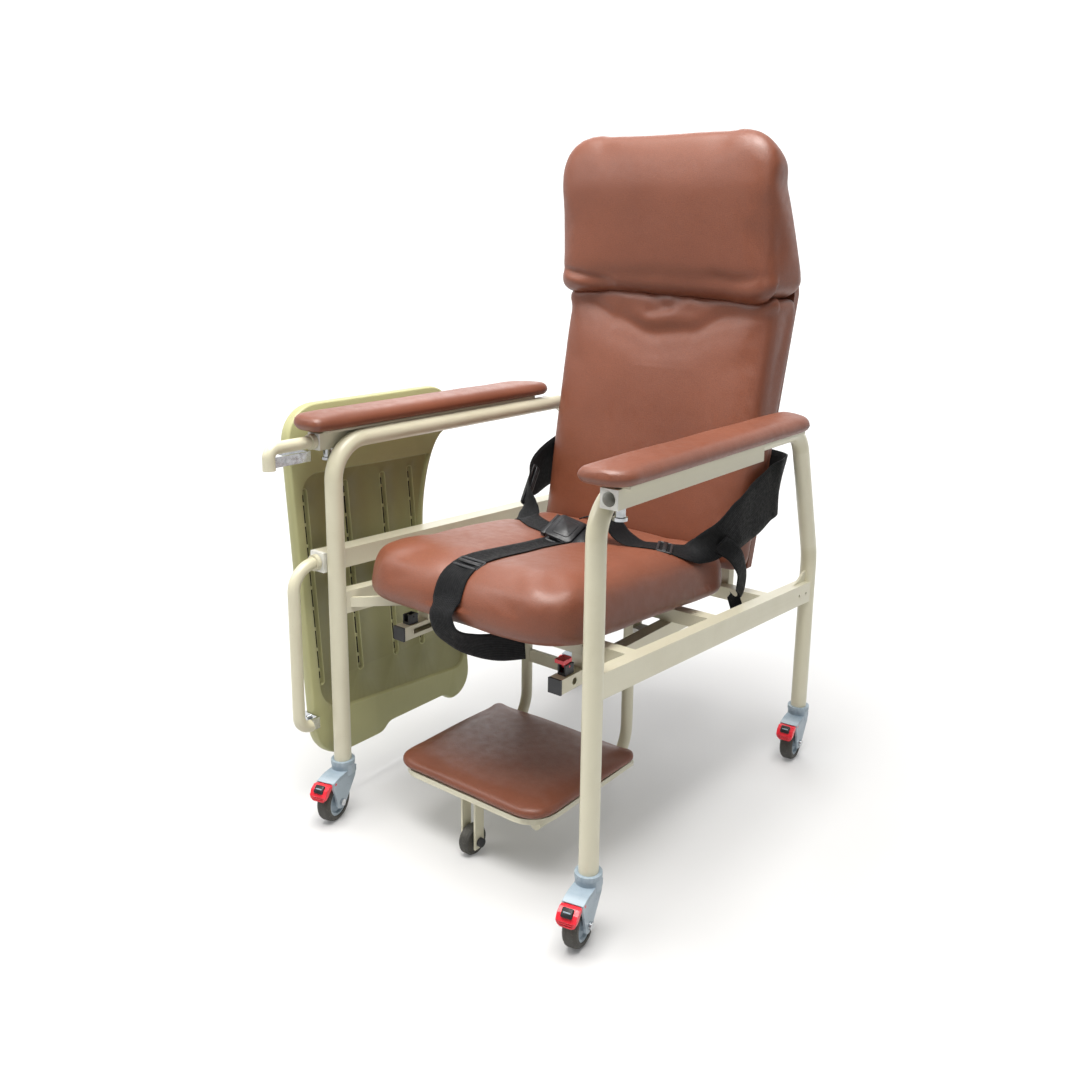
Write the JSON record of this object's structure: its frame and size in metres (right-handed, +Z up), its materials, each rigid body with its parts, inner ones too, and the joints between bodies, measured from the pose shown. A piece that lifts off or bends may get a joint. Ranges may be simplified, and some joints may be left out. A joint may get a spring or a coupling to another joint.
{
  "type": "geriatric day chair",
  "caption": "High-back care chair on braked swivel castors, with armrests, lap belt, slide-out footrest and a stowed side tray.",
  "frame": {"origin": "on the floor, at the middle of the bounding box of the whole chair with its stowed tray", "axes": "+Z up; -Y is the front of the chair, where the sitter faces; +X is the sitter's left"},
  "size_m": [0.7682, 0.903, 1.2619],
  "materials": {
    "cream": "gloss powder coat",
    "vinyl": "fine-grained upholstery vinyl",
    "tray": "moulded, satin",
    "castor": "grey-blue moulded nylon",
    "pedal": "red moulded",
    "webbing": "woven webbing",
    "black": "moulded",
    "tyre": "soft grey-black rubber",
    "chrome": "bright plated",
    "white": "white nylon",
    "board": "black covered board"
  },
  "bodies": {
    "chair": {"side_frame_left": "cream", "side_frame_right": "cream", "side_rails": "cream", "front_cross_beam": "cream", "rear_cross_beams": "cream", "caster_stems": "castor", "arm_sockets": "cream", "storage_tube": "cream", "socket_bushes": "white", "plunger_housings": "chrome", "seat_base": "board", "seat_cushion": "vinyl", "back_frame": "cream", "back_board": "vinyl", "back_cushion": "vinyl", "head_cushion": "vinyl", "arm_pad_left": "vinyl", "arm_pad_right": "vinyl", "arm_pad_bases": "cream", "slide_rails": "cream", "rail_end_caps": "black", "latch_bases": "black", "lap_belt_left": "webbing", "lap_belt_right": "webbing", "belt_buckle": "black", "crotch_strap": "webbing"},
    "plunger_left": {"plunger_pin_left": "chrome"},
    "plunger_right": {"plunger_pin_right": "chrome"},
    "footrest": {"footrest_sliders": "white", "footrest_frame": "cream", "footboard_base": "cream", "footboard_pad": "vinyl", "footrest_fork": "cream", "support_wheel_bolt": "black"},
    "support_wheel": {"support_wheel": "tyre"},
    "latch": {"latch_lever": "pedal"},
    "tray": {"tray_panel": "tray", "tray_plug_tube": "cream", "tray_swing_arm": "cream", "tray_clamps": "chrome"},
    "swivel_fl": {"caster_fork_fl": "castor", "caster_axle_fl": "chrome"},
    "wheel_fl": {"caster_hub_fl": "castor", "caster_tyre_fl": "tyre"},
    "pedal_fl": {"brake_pedal_fl": "pedal"},
    "swivel_fr": {"caster_fork_fr": "castor", "caster_axle_fr": "chrome"},
    "wheel_fr": {"caster_hub_fr": "castor", "caster_tyre_fr": "tyre"},
    "pedal_fr": {"brake_pedal_fr": "pedal"},
    "swivel_rl": {"caster_fork_rl": "castor", "caster_axle_rl": "chrome"},
    "wheel_rl": {"caster_hub_rl": "castor", "caster_tyre_rl": "tyre"},
    "pedal_rl": {"brake_pedal_rl": "pedal"},
    "swivel_rr": {"caster_fork_rr": "castor", "caster_axle_rr": "chrome"},
    "wheel_rr": {"caster_hub_rr": "castor", "caster_tyre_rr": "tyre"},
    "pedal_rr": {"brake_pedal_rr": "pedal"}
  },
  "joints": [
    {"name": "plunger_left_pull", "type": "slide", "parent": "chair", "child": "plunger_left", "axis": [0, 0, -1], "range_m": [0, 0.006], "stiffness_N_per_m": 400, "springref_m": -0.004},
    {"name": "plunger_right_pull", "type": "slide", "parent": "chair", "child": "plunger_right", "axis": [0, 0, -1], "range_m": [0, 0.006], "stiffness_N_per_m": 400, "springref_m": -0.004},
    {"name": "footrest_slide", "type": "slide", "parent": "chair", "child": "footrest", "axis": [0, -1, 0], "range_m": [0, 0.22]},
    {"name": "support_wheel_spin", "type": "hinge", "parent": "footrest", "child": "support_wheel", "pos_m": [0.02514, -0.2825, 0.027], "axis": [1, 0, 0], "continuous": true},
    {"name": "latch_lift", "type": "hinge", "parent": "chair", "child": "latch", "pos_m": [0.20214, -0.2525, 0.3925], "axis": [1, 0, 0], "range_deg": [-35, 0]},
    {"name": "tray_slide", "type": "slide", "parent": "chair", "child": "tray", "axis": [0, -1, 0], "range_m": [0, 0.1]},
    {"name": "swivel_fl_turn", "type": "hinge", "parent": "chair", "child": "swivel_fl", "pos_m": [0.31014, -0.3285, 0.09], "axis": [0, 0, 1], "continuous": true},
    {"name": "wheel_fl_spin", "type": "hinge", "parent": "swivel_fl", "child": "wheel_fl", "pos_m": [0.31721, -0.36176, 0.0375], "axis": [0.9781, 0.2079, 0], "continuous": true},
    {"name": "pedal_fl_press", "type": "hinge", "parent": "swivel_fl", "child": "pedal_fl", "pos_m": [0.32054, -0.37741, 0.08], "axis": [0.9781, 0.2079, 0], "range_deg": [0, 8]},
    {"name": "swivel_fr_turn", "type": "hinge", "parent": "chair", "child": "swivel_fr", "pos_m": [-0.25986, -0.3285, 0.09], "axis": [0, 0, 1], "continuous": true},
    {"name": "wheel_fr_spin", "type": "hinge", "parent": "swivel_fr", "child": "wheel_fr", "pos_m": [-0.25106, -0.36134, 0.0375], "axis": [0.9659, 0.2588, 0], "continuous": true},
    {"name": "pedal_fr_press", "type": "hinge", "parent": "swivel_fr", "child": "pedal_fr", "pos_m": [-0.24692, -0.3768, 0.08], "axis": [0.9659, 0.2588, 0], "range_deg": [0, 8]},
    {"name": "swivel_rl_turn", "type": "hinge", "parent": "chair", "child": "swivel_rl", "pos_m": [0.31014, 0.4295, 0.09], "axis": [0, 0, 1], "continuous": true},
    {"name": "wheel_rl_spin", "type": "hinge", "parent": "swivel_rl", "child": "wheel_rl", "pos_m": [0.31369, 0.39569, 0.0375], "axis": [0.9945, 0.1045, 0], "continuous": true},
    {"name": "pedal_rl_press", "type": "hinge", "parent": "swivel_rl", "child": "pedal_rl", "pos_m": [0.31537, 0.37977, 0.08], "axis": [0.9945, 0.1045, 0], "range_deg": [0, 8]},
    {"name": "swivel_rr_turn", "type": "hinge", "parent": "chair", "child": "swivel_rr", "pos_m": [-0.25986, 0.4295, 0.09], "axis": [0, 0, 1], "continuous": true},
    {"name": "wheel_rr_spin", "type": "hinge", "parent": "swivel_rr", "child": "wheel_rr", "pos_m": [-0.25986, 0.3955, 0.0375], "axis": [1, 0, 0], "continuous": true},
    {"name": "pedal_rr_press", "type": "hinge", "parent": "swivel_rr", "child": "pedal_rr", "pos_m": [-0.25986, 0.3795, 0.08], "axis": [1, 0, 0], "range_deg": [0, 8]}
  ]
}
